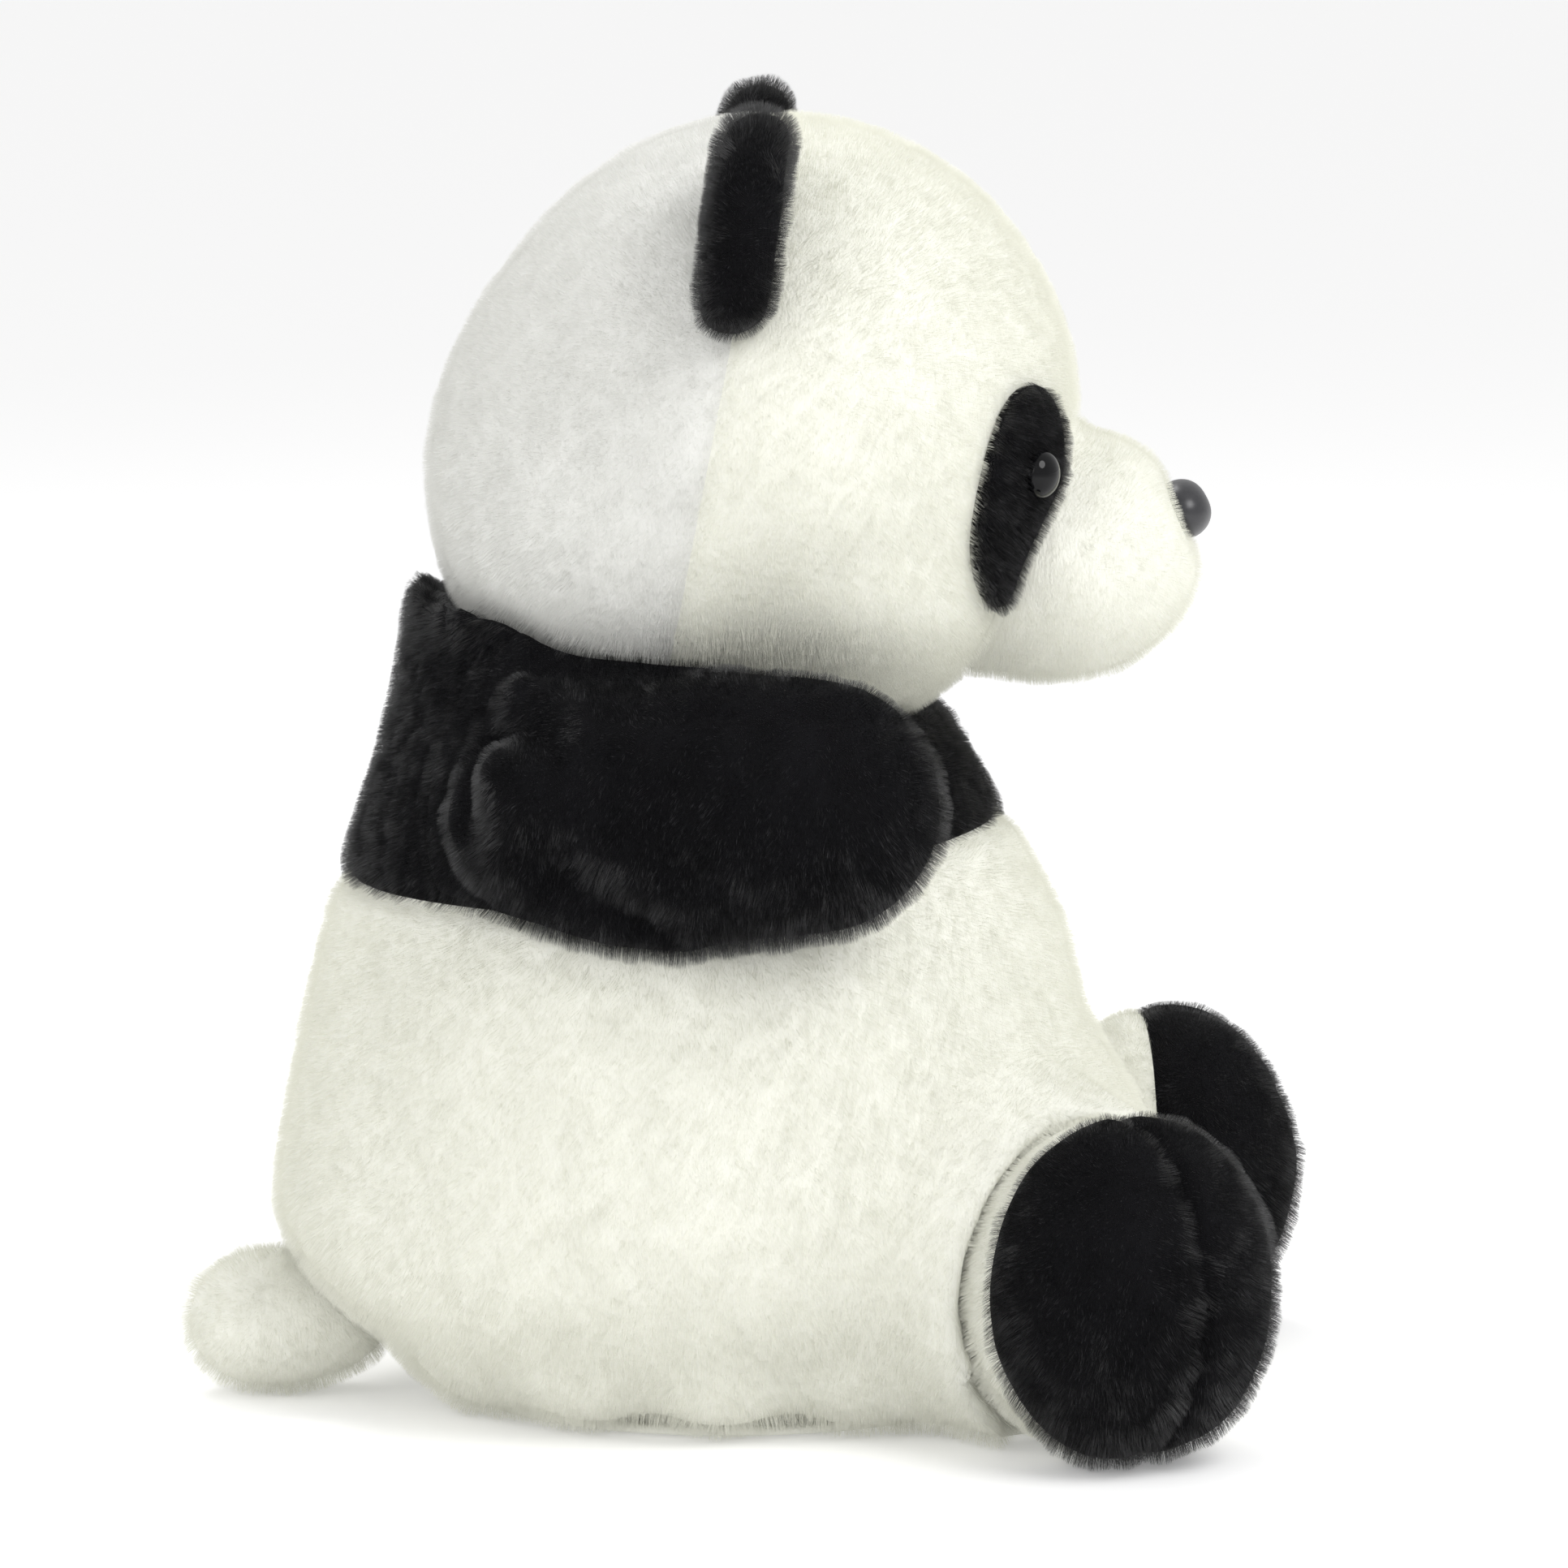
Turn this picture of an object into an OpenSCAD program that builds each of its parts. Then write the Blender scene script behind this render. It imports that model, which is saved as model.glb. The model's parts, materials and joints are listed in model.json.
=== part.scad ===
// Seated plush panda: sewn covers over separate stuffing, with plastic eyes and nose.
// The origin is on the floor below the middle. +Z is up, the face looks along -Y,
// and the panda's own left is +X.

/* [Head] */
// Half width of the skull across the cheeks
skull_rx = 92; // [88:1:96]
// Half depth of the skull
skull_ry = 76; // [74:1:78]
// Half height of the skull
skull_rz = 75; // [73:1:77]
// Height of the middle of the skull above the floor
skull_z = 252; // [250:1:254]
// Radius of the round underside that turns in the collar
neck_ball_r = 76; // [75:0.5:77]

/* [Face] */
// Half width of the muzzle
muzzle_rx = 41; // [38:1:44]
// Diameter of an eye
eye_d = 12; // [11:0.5:13]
// Distance of each eye from the middle of the face
eye_x = 50; // [48:1:52]
// Height of the eyes above the floor
eye_z = 240; // [238:1:242]
// Width of the nose
nose_w = 23; // [20:1:25]

/* [Ears] */
// Radius of the round ear
ear_r = 30; // [28:1:31]
// Half thickness of the ear
ear_half_t = 9.5; // [9:0.5:10]

/* [Body] */
// Half width of the seat
seat_rx = 92; // [90:1:94]
// Half depth of the seat
seat_ry = 107; // [105:1:108]
// Height of the seam between the white cover and the black band, at the back
band_z = 132; // [130:1:135]
// Angle at which that seam climbs towards the chest
band_climb = 10; // [8:1:12]
// Radius of the round root of an arm
shoulder_r = 26; // [25:0.5:27]
// Radius of the round root of a leg
hip_r = 31; // [30:0.5:32]
// Half height of a foot
foot_rz = 43; // [42:0.5:43]
// Distance of the ankle's seam behind the middle of the foot
ankle_y = 8; // [5:1:10]

/* [Cloth] */
// Thickness of the backed pile fabric
skin = 2.6; // [2.4:0.1:3]
// Space between pieces that move against each other
gap = 0.5; // [0.4:0.1:0.6]

/* [Hidden] */

white = [0.93, 0.93, 0.89];
grey_white = [0.80, 0.80, 0.78];
black = [0.06, 0.06, 0.07];
plastic = [0.12, 0.12, 0.13];
wadding = [0.85, 0.85, 0.80];
canvas = [0.75, 0.68, 0.55];

// Facets around a soft lobe, around the head's round underside, and around a limb
lobe_fn = 20;
root_fn = 32;
limb_fn = 18;
// Space between pieces that are sewn together
seam_gap = 0.2;
// A box larger than the whole panda, for cutting along planes
far = 400;

// Soft shapes are lists of lobes, each [centre, radii], hulled together
head_lobes = [
    [[0, -6, skull_z], [skull_rx, skull_ry, skull_rz]],
    [[0, 16, skull_z - 20], [skull_rx - 8, skull_ry - 11, skull_rz - 15]],
    [[0, -20, skull_z - 36], [skull_rx - 14, skull_ry - 26, skull_rz - 37]]];
neck_c = [0, 6, skull_z - 16];
// The collar's rim is a plane that rises towards the back
rim_c = [0, 6, skull_z - 64];
rim_tilt = 14;
// The seam between face and back panels leans back towards the collar
face_seam_c = [0, 5, skull_z + 23];
face_seam_tilt = 10.8;
neck_hole_r = 40;
neck_pad_t = 10;
// How far the head turns and nods each way
head_turn = 25;
head_nod = 8;

muzzle_lobes = [
    [[0, -74, skull_z - 38], [muzzle_rx, 40, 32]],
    [[0, -83, skull_z - 30], [muzzle_rx - 9, 28, 24]]];
// How far the muzzle's stuffing reaches below the face
muzzle_sink = 9;
nose_c = [0, -108, skull_z - 26];
nose_tilt = 28;
nose_rim_r = 7.5;
nose_shank_r = 2.5;
nose_shank_l = 14;

eye_r = eye_d / 2;
eye_y = -6 - skull_ry * sqrt(1 - pow(eye_x / skull_rx, 2) - pow((eye_z - skull_z) / skull_rz, 2));
// The outward direction of the skull at the eye, as a turn about Z from -Y
eye_turn = atan((eye_x / pow(skull_rx, 2)) / ((-6 - eye_y) / pow(skull_ry, 2)));
eye_dome = 4.5;
shank_r = 2;
shank_l = 12;
washer_r = 8;
washer_t = 1.6;
eye_washer_depth = 6;
patch_t = 1.6;
patch_rx = 25;
patch_rz = 29;

// The ear stands where the skull's outline reaches this angle above its middle
ear_at = 38;
ear_c = [skull_rx * cos(ear_at), 2, skull_z + skull_rz * sin(ear_at)];
ear_lean = atan((cos(ear_at) / skull_rx) / (sin(ear_at) / skull_rz));
ear_axis_h = 1.5;
ear_root_x = 17;

body_lobes = [
    [[0, 16, 52], [seat_rx, seat_ry, 51.5]],
    [[0, 15, 112], [seat_rx - 7, seat_ry - 11, 50]],
    [[0, 22, 170], [seat_rx - 16, seat_ry - 37, 38]],
    [[0, 38, 200], [55, 46, 25]],
    [[0, 52, 206], [46, 33, 25]]];
seat_c = [0, 6];
seat_flat = [58, 68];
seat_panel_t = 2.4;
pellet_lobe = [[0, 12, 22], [56, 64, 24]];
// Where the band's seam starts to climb
band_climb_y = 25;

function arm_root(side) = [side * 70, 40, 160];
function paw_c(side) = side > 0 ? [92, -28, 145] : [-92, -17, 163];
function arm_lobes(side) = [
    [arm_root(side), [1, 1, 1] * shoulder_r],
    [paw_c(side), [24, 31, 32]]];
// The arm opens outwards and a little upwards
arm_axis_tilt = 20;
arm_open = 60;

function foot_c(side) = side > 0 ? [78, -110.5, foot_rz + 0.5] : [-82, -92, foot_rz + 0.5];
function foot_splay(side) = side > 0 ? 5 : 58;
foot_lobe = [[0, 0, 0], [38, 34, foot_rz]];
// The leg's root and the thigh, in the foot's own directions
hip_at = [0, 26, -4];
// Openings in the cloth where a root passes through, and how deep they are cut
arm_hole_r = 15;
leg_hole_r = 18;
tail_hole_r = 7;
hole_l = 40;
neck_hole_start = 60;
thigh_lobe = [[0, 50, -3], [37, 38, 38]];
leg_lift = 24;

tail_root = [0, 106, 19];
tail_root_r = 14;
tail_lobes = [
    [tail_root, [1, 1, 1] * tail_root_r],
    [[0, 128, 18.2], [20, 18.5, 17.7]]];
tail_wag = 20;

// The radius of a faceted socket that clears a round root of radius r
function socket(r, fn = root_fn) = (r + gap) / pow(cos(180 / fn), 2);

module ellipsoid(lobe, grow = 0, fn = lobe_fn)
    hull() translate(lobe[0]) scale(lobe[1] + grow * [1, 1, 1]) sphere(r = 1, $fn = fn);

module blob(lobes, grow = 0, fn = lobe_fn)
    hull() for (lobe = lobes) ellipsoid(lobe, grow, fn);

module ball(c, r) ellipsoid([c, [r, r, r]], 0, root_fn);

module oval_plate(c, r, t)
    translate([c[0], c[1], 0]) linear_extrude(t)
        polygon([for (i = [0:lobe_fn * 2 - 1])
            let (a = i * 180 / lobe_fn) [r[0] * cos(a), r[1] * sin(a)]]);

// Half space behind the head's side seam
module behind_face(shift = 0)
    translate(face_seam_c) rotate([face_seam_tilt, 0, 0])
        translate([-far / 2, shift, -far / 2]) cube(far);

// Half space above the collar's rim
module above_rim(lift)
    translate(rim_c) rotate([rim_tilt, 0, 0]) translate([-far / 2, -far / 2, lift]) cube(far);

module at_eye(side)
    translate([side * eye_x, eye_y, eye_z]) rotate([0, 0, side * eye_turn]) rotate([90, 0, 0])
        children();

module at_nose() translate(nose_c) rotate([90 - nose_tilt, 0, 0]) children();

module at_ear(side)
    translate([side * ear_c[0], ear_c[1], ear_c[2]]) rotate([0, side * ear_lean, 0]) children();

module at_foot(side)
    translate(foot_c(side)) rotate([0, 0, side * foot_splay(side)]) children();

module turned(pivot, axis, angle)
    translate(pivot) rotate(a = angle, v = axis) translate(-pivot) children();

// ---- head ----

module head_form(grow = 0) {
    blob(head_lobes, grow);
    ball(neck_c, neck_ball_r + grow);
}

module ear_groove(side)
    at_ear(side) hull() for (x = [-1, 1])
        translate([x * ear_root_x, 0, ear_axis_h])
            sphere(r = socket(ear_half_t + 0.4), $fn = lobe_fn);

module washer_pocket(depth)
    translate([0, 0, -skin - depth]) cylinder(r = washer_r + 1, h = depth + 1, $fn = lobe_fn);

module head_skin() difference() {
    head_form();
    head_form(-skin);
    translate([neck_c[0], neck_c[1], 0])
        cylinder(r = neck_hole_r, h = skull_z - neck_hole_start, $fn = root_fn);
    blob(muzzle_lobes, -skin - seam_gap);
    for (side = [-1, 1]) {
        at_eye(side) translate([0, 0, -10])
            cylinder(r = shank_r + seam_gap, h = 20, $fn = lobe_fn);
        ear_groove(side);
    }
}

module head_face_cover() color(white) difference() {
    head_skin();
    behind_face(-seam_gap / 2);
}

module head_back_cover() color(grey_white) intersection() {
    head_skin();
    behind_face(seam_gap / 2);
}

module head_stuffing() color(wadding) difference() {
    union() {
        head_form(-skin - seam_gap);
        intersection() {
            ball(neck_c, neck_ball_r);
            translate([neck_c[0], neck_c[1], 0])
                cylinder(r = neck_hole_r - seam_gap, h = skull_z - 40, $fn = root_fn);
        }
    }
    blob(muzzle_lobes, -skin + seam_gap);
    for (side = [-1, 1]) {
        at_eye(side) washer_pocket(shank_l);
        ear_groove(side);
    }
}

module muzzle_cover() color(white) difference() {
    blob(muzzle_lobes);
    blob(muzzle_lobes, -skin);
    head_form(seam_gap);
    at_nose() translate([0, 0, -10])
        cylinder(r = nose_shank_r + seam_gap, h = 20, $fn = lobe_fn);
}

module muzzle_stuffing() color(wadding) difference() {
    blob(muzzle_lobes, -skin - seam_gap);
    at_nose() translate([0, 0, -nose_shank_l - 3])
        cylinder(r = washer_r + 1, h = nose_shank_l + 20, $fn = lobe_fn);
    blob(head_lobes, -muzzle_sink);
}

// A wide low dome on a shank, pushed through the muzzle from outside
module nose() color(plastic) {
    difference() {
        at_nose() hull() for (x = [-1, 1]) translate([x * (nose_w / 2 - nose_rim_r), 0, 0])
            sphere(r = nose_rim_r, $fn = lobe_fn);
        blob(muzzle_lobes, seam_gap);
    }
    at_nose() translate([0, 0, -nose_shank_l])
        cylinder(r = nose_shank_r, h = nose_shank_l + nose_rim_r / 2, $fn = 48);
}

module ring_washer(bore_r) difference() {
    cylinder(r = washer_r, h = washer_t, $fn = 48);
    translate([0, 0, -1]) cylinder(r = bore_r, h = washer_t + 2, $fn = 48);
}

module nose_washer() color(canvas) at_nose()
    translate([0, 0, -nose_shank_l + 2]) ring_washer(nose_shank_r);

module eye_patch(side) color(black) difference() {
    intersection() {
        blob(head_lobes, patch_t + seam_gap);
        translate([0, 0, -6]) at_eye(side) scale([patch_rx, patch_rz, 1])
            cylinder(r = 1, h = 30, center = true, $fn = 48);
    }
    blob(head_lobes, seam_gap);
    blob(muzzle_lobes, seam_gap);
    at_eye(side) translate([0, 0, -10])
        cylinder(r = shank_r + seam_gap, h = 20, $fn = lobe_fn);
}

module eye(side) color(plastic) at_eye(side) {
    translate([0, 0, patch_t + 2 * seam_gap + 0.4]) rotate_extrude($fn = 64)
        intersection() {
            scale([eye_r, eye_dome]) circle(r = 1, $fn = 64);
            square([eye_r, eye_dome]);
        }
    translate([0, 0, -shank_l + 1]) cylinder(r = shank_r, h = shank_l + 3, $fn = 48);
}

module eye_washer(side) color(canvas) at_eye(side)
    translate([0, 0, -skin - eye_washer_depth]) ring_washer(shank_r);

module ear(side) color(black) at_ear(side) {
    intersection() {
        translate([0, 0, 4]) rotate([90, 0, 0]) hull() rotate_extrude($fn = lobe_fn)
            translate([ear_r - ear_half_t, 0]) circle(r = ear_half_t, $fn = lobe_fn);
        translate([-far / 2, -far / 2, ear_axis_h]) cube(far);
    }
    hull() for (x = [-1, 1]) translate([x * ear_root_x, 0, ear_axis_h])
        sphere(r = ear_half_t, $fn = lobe_fn);
}

// ---- neck ----

// Firm wad in the neck opening, shaped to the head's round underside
module neck_pad(grow = 0, r = neck_hole_r) intersection() {
    difference() {
        ball(neck_c, socket(neck_ball_r) + neck_pad_t + grow);
        ball(neck_c, socket(neck_ball_r) - grow);
    }
    translate([neck_c[0], neck_c[1], 100]) cylinder(r = r - 2 + grow, h = 80, $fn = root_fn);
}

module neck_stuffing() color(wadding) neck_pad();

// ---- limbs ----

module arm_form(side, grow = 0) blob(arm_lobes(side), grow, limb_fn);

module arm_axis_turn(side, angle)
    turned(arm_root(side), [-sin(arm_axis_tilt), 0, side * cos(arm_axis_tilt)], angle)
        children();

module foot_form(side, grow = 0) at_foot(side) hull() {
    ellipsoid(foot_lobe, grow, limb_fn);
    ellipsoid([hip_at, [1, 1, 1] * hip_r], grow, limb_fn);
}

module leg_turn(side, angle)
    at_foot(side) turned(hip_at, [-1, 0, 0], angle) rotate([0, 0, -side * foot_splay(side)])
        translate(-foot_c(side)) children();

module tail_form(grow = 0) blob(tail_lobes, grow, limb_fn);

// Everything the limbs pass through, with clearance
module limb_room(extra = 0) {
    for (side = [-1, 1]) {
        hull() for (a = [0, 10, 20]) arm_axis_turn(side, a)
            arm_form(side, socket(shoulder_r, limb_fn) - shoulder_r + extra);
        hull() for (a = [0:8:leg_lift]) leg_turn(side, a)
            foot_form(side, socket(hip_r, limb_fn) - hip_r + extra);
    }
    hull() for (a = [-tail_wag:20:tail_wag]) turned(tail_root, [0, 0, 1], a)
        tail_form(socket(tail_root_r, limb_fn) - tail_root_r + extra);
}

// A limb's cover is open at its root, where the stuffing goes in
module arm_cover(side) color(black) difference() {
    arm_form(side);
    arm_form(side, -skin);
    translate(arm_root(side)) rotate([0, -side * 90, 0])
        cylinder(r = arm_hole_r, h = hole_l, $fn = lobe_fn);
}

module arm_stuffing(side) color(wadding) arm_form(side, -skin - seam_gap);

module leg_skin(side) difference() {
    foot_form(side);
    foot_form(side, -skin);
    at_foot(side) translate(hip_at) rotate([-90, 0, 0])
        cylinder(r = leg_hole_r, h = hole_l, $fn = lobe_fn);
}

// Half space behind the seam that joins a black foot to its white leg
module behind_ankle(side, shift)
    at_foot(side) translate([-far / 2, ankle_y + shift, -far / 2]) cube(far);

module foot_cover(side) color(black) difference() {
    leg_skin(side);
    behind_ankle(side, -seam_gap / 2);
}

module leg_cover(side) color(white) intersection() {
    leg_skin(side);
    behind_ankle(side, seam_gap / 2);
}

module foot_stuffing(side) color(wadding) foot_form(side, -skin - seam_gap);

module tail_cover() color(white) difference() {
    tail_form();
    tail_form(-skin);
    translate(tail_root) rotate([90, 0, 0]) cylinder(r = tail_hole_r, h = hole_l, $fn = lobe_fn);
}

module tail_stuffing() color(wadding) tail_form(-skin - seam_gap);

// ---- body ----

module body_form(grow = 0, rim_lift = 0) {
    difference() {
        hull() {
            blob(body_lobes, grow);
            translate([0, 0, -grow]) oval_plate(seat_c, seat_flat + [1, 1] * grow, 1);
        }
        above_rim(rim_lift);
    }
    for (side = [-1, 1]) at_foot(side) ellipsoid(thigh_lobe, grow);
}

// Everything the head passes through, with clearance
module head_room() {
    ball(neck_c, socket(neck_ball_r));
    hull() for (turn = [-head_turn, 0, head_turn], nod = [-head_nod, head_nod])
        turned(neck_c, [0, 0, 1], turn) turned(neck_c, [1, 0, 0], nod)
            blob(head_lobes, 2 * gap);
}

module body_skin() difference() {
    body_form();
    body_form(-skin, 5);
    head_room();
    limb_room();
}

// The seam is level round the back, and climbs from the sides to the chest
module above_seam(lift) intersection() {
    translate([-far / 2, -far / 2, band_z + lift]) cube(far);
    translate([0, band_climb_y, band_z + lift]) rotate([-band_climb, 0, 0])
        translate([-far / 2, -far / 2, 0]) cube(far);
}

module shoulder_band_cover() color(black) intersection() {
    body_skin();
    above_seam(seam_gap / 2);
}

module body_cover() color(white) difference() {
    body_skin();
    above_seam(-seam_gap / 2);
    oval_plate(seat_c, seat_flat + [1, 1] * seam_gap, seat_panel_t + 1);
}

module seat_panel() color(white) oval_plate(seat_c, seat_flat, seat_panel_t);

module pellet_bag() color(canvas) intersection() {
    ellipsoid(pellet_lobe);
    translate([-far / 2, -far / 2, seat_panel_t + 1.5]) cube(far);
}

module body_stuffing() color(wadding) difference() {
    body_form(-skin - seam_gap, -1);
    head_room();
    limb_room(skin);
    neck_pad(gap, neck_hole_r);
    ellipsoid(pellet_lobe, gap);
    translate([-far / 2, -far / 2, seat_panel_t + 1 - far]) cube(far);
}

shoulder_band_cover();
body_cover();
seat_panel();
body_stuffing();
pellet_bag();
neck_stuffing();
head_face_cover();
head_back_cover();
head_stuffing();
muzzle_cover();
muzzle_stuffing();
nose();
nose_washer();
eye_patch(1);  // eye_patch_left
eye_patch(-1);  // eye_patch_right
eye(1);  // eye_left
eye(-1);  // eye_right
eye_washer(1);  // eye_washer_left
eye_washer(-1);  // eye_washer_right
ear(1);  // ear_left
ear(-1);  // ear_right
arm_cover(1);  // arm_cover_left
arm_stuffing(1);  // arm_stuffing_left
arm_cover(-1);  // arm_cover_right
arm_stuffing(-1);  // arm_stuffing_right
foot_cover(1);  // foot_cover_left
leg_cover(1);  // leg_cover_left
foot_stuffing(1);  // foot_stuffing_left
foot_cover(-1);  // foot_cover_right
leg_cover(-1);  // leg_cover_right
foot_stuffing(-1);  // foot_stuffing_right
tail_cover();
tail_stuffing();
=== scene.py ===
"""A seated plush panda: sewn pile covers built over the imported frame, with plastic eyes and nose."""
import json
import math

import bmesh
import bpy
import numpy as np
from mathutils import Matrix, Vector, noise


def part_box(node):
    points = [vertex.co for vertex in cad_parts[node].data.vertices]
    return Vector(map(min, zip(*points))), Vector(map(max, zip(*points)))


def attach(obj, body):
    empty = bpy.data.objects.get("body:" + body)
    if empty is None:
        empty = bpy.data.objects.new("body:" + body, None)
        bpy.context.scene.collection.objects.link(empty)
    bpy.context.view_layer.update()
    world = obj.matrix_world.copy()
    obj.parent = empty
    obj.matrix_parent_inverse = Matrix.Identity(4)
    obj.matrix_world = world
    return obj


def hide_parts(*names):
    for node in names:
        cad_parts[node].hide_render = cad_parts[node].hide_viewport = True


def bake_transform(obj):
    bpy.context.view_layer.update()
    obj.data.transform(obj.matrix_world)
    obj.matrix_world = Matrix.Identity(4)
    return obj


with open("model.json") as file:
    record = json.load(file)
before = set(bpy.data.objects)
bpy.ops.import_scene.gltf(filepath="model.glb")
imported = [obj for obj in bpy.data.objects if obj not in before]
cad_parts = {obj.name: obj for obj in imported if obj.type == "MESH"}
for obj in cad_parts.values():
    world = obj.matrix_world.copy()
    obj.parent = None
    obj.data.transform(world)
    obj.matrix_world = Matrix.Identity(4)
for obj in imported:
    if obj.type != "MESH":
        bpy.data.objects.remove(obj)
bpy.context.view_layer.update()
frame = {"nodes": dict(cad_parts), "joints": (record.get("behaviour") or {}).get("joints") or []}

MM = 0.001
SIDES = {"left": 1, "right": -1}
JOINT_AT = {j["name"]: np.array(j["pos_m"]) / MM for j in frame["joints"]}
JOINT_AXIS = {j["name"]: np.array(j["axis"]) for j in frame["joints"]}


def node_box(node):
    """Lowest and highest corner of a frame node, in millimetres."""
    low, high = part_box(node)
    return np.array(low) / MM, np.array(high) / MM


# ---- camera, floor and light ----

VIEW_AZIMUTH, VIEW_ELEVATION = math.radians(270), math.radians(8)
VIEW_DISTANCE, VIEW_WIDTH, SENSOR_WIDTH = 1.86, 0.398, 36
VIEW_CENTRE = Vector((0, -0.0076, 0.156))


def look_from(azimuth, elevation, distance, centre):
    """Where an object stands, and its turn, when it looks at centre from there."""
    away = Vector((math.sin(azimuth) * math.cos(elevation),
                   -math.cos(azimuth) * math.cos(elevation), math.sin(elevation)))
    return centre + away * distance, away.to_track_quat("Z", "Y").to_euler()


def add_camera():
    data = bpy.data.cameras.new("camera")
    data.sensor_width = SENSOR_WIDTH
    data.lens = SENSOR_WIDTH * VIEW_DISTANCE / VIEW_WIDTH
    camera = bpy.data.objects.new("camera", data)
    camera.location, camera.rotation_euler = look_from(
        VIEW_AZIMUTH, VIEW_ELEVATION, VIEW_DISTANCE, VIEW_CENTRE)
    bpy.context.scene.collection.objects.link(camera)
    bpy.context.scene.camera = camera


def add_area_light(name, azimuth, elevation, distance, size, watts, tint=(1, 1, 1)):
    data = bpy.data.lights.new(name, "AREA")
    data.shape, data.size, data.energy, data.color = "DISK", size, watts, tint
    light = bpy.data.objects.new(name, data)
    light.location, light.rotation_euler = look_from(
        math.radians(azimuth), math.radians(elevation), distance, VIEW_CENTRE)
    bpy.context.scene.collection.objects.link(light)


def add_stage():
    floor_mesh = bpy.data.meshes.new("floor")
    reach = 60.0
    floor_mesh.from_pydata(
        [(-reach, -reach, -0.001), (reach, -reach, -0.001), (reach, reach, -0.001), (-reach, reach, -0.001)],
        [], [(0, 1, 2, 3)])
    floor = bpy.data.objects.new("floor", floor_mesh)
    bpy.context.scene.collection.objects.link(floor)
    paint = bpy.data.materials.new("floor_paint")
    paint.use_nodes = True
    surface = paint.node_tree.nodes["Principled BSDF"]
    surface.inputs["Base Color"].default_value = (0.93, 0.93, 0.93, 1)
    surface.inputs["Roughness"].default_value = 0.9
    surface.inputs["Emission Color"].default_value = (1, 1, 1, 1)
    surface.inputs["Emission Strength"].default_value = 0.22
    floor_mesh.materials.append(paint)
    world = bpy.data.worlds.new("studio")
    world.use_nodes = True
    sky = world.node_tree.nodes["Background"]
    sky.inputs["Color"].default_value = (1, 1, 1, 1)
    sky.inputs["Strength"].default_value = 0.75
    bpy.context.scene.world = world
    bpy.context.scene.view_settings.view_transform = "Standard"
    add_area_light("key", 315, 42, 1.6, 0.9, 13.5)
    add_area_light("fill", 235, 25, 2.0, 1.2, 7)
    add_area_light("back_light", 120, 50, 1.8, 0.8, 10)


# ---- soft forms ----
# A form is melted ellipsoid lobes, each (centre, radii) in millimetres, seen along rays from a point inside.

def cube_sphere(cuts):
    """Evenly spread unit directions and the quads that join them."""
    mesh = bmesh.new()
    bmesh.ops.create_cube(mesh, size=2)
    bmesh.ops.subdivide_edges(mesh, edges=mesh.edges[:], cuts=cuts, use_grid_fill=True)
    rays = np.tan(np.array([v.co[:] for v in mesh.verts]) * math.pi / 4)
    quads = [[v.index for v in face.verts] for face in mesh.faces]
    mesh.free()
    return rays / np.linalg.norm(rays, axis=1)[:, None], quads


def melted(lobes, melt):
    """Signed distance to the lobes, melted together over a width of about melt."""
    def distance(points):
        total = 0
        for centre, radii in lobes:
            q = (points - np.array(centre, float)) / np.array(radii, float) + 1e-9
            near = np.linalg.norm(q, axis=1)
            slope = np.linalg.norm(q / np.array(radii, float), axis=1)
            total = total + np.exp(np.clip(-near * (near - 1) / slope / melt, -60, 60))
        return -melt * np.log(total)
    return distance


def without(shape, hollow, room, soft):
    """The shape with a hollow cut from it, with room to spare and an edge softened over soft."""
    def distance(points):
        a, b = shape(points), room - hollow(points)
        mix = np.clip(0.5 + (a - b) / (2 * soft), 0, 1)
        return b + (a - b) * mix + soft * mix * (1 - mix)
    return distance


def overlaid(shape, ground, middle, radius, proud, soft):
    """The shape flowing out over the ground within a radius of middle, as a sewn panel does."""
    reach = melted([(middle, (radius, radius, radius))], 1)

    def distance(points):
        laid = np.maximum(ground(points) - proud, reach(points))
        return -soft * np.log(np.exp(np.clip(-shape(points) / soft, -60, 60))
                              + np.exp(np.clip(-laid / soft, -60, 60)))
    return distance


def between(first, last, count):
    """Lobes spaced evenly from the first to the last."""
    (c0, r0), (c1, r1) = [(np.array(c, float), np.array(r, float)) for c, r in (first, last)]
    return [(c0 + (c1 - c0) * t, r0 + (r1 - r0) * t) for t in np.linspace(0, 1, count)]


MARCH = 2.0


def first_crossing(starts, rays, shape, reach):
    """Distance along each ray at which its sign in shape first changes."""
    sign = np.sign(shape(starts))
    near = np.zeros(len(rays))
    going = np.ones(len(rays), bool)
    for _ in range(int(reach / MARCH)):
        ahead = shape(starts + rays * (near + MARCH)[:, None]) * sign > 0
        going &= ahead
        near = np.where(going, near + MARCH, near)
    far = near + MARCH
    for _ in range(12):
        middle = (near + far) / 2
        same = shape(starts + rays * middle[:, None]) * sign > 0
        near, far = np.where(same, middle, near), np.where(same, far, middle)
    return near


def ray_form(inside, shape, cuts, reach=200, pile=2.0):
    """Points where rays from inside come within the pile's height of leaving the shape, with their quads."""
    rays, quads = cube_sphere(cuts)
    starts = np.tile(np.array(inside, float), (len(rays), 1))
    return starts + rays * first_crossing(starts, rays, lambda p: shape(p) + pile, reach)[:, None], quads


def outward(points, shape):
    """The shape's own outward direction at each point."""
    step = 0.5
    slope = np.stack([shape(points + step * np.eye(3)[i]) - shape(points - step * np.eye(3)[i])
                      for i in range(3)], axis=1)
    return slope / np.linalg.norm(slope, axis=1)[:, None]


def new_piece(name, points, faces):
    mesh = bpy.data.meshes.new(name)
    mesh.from_pydata([Vector(p) * MM for p in points], [], faces)
    mesh.update()
    mesh.shade_smooth()
    piece = bpy.data.objects.new(name, mesh)
    bpy.context.scene.collection.objects.link(piece)
    return piece


def points_of(piece):
    return np.array([v.co[:] for v in piece.data.vertices]) / MM


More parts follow.
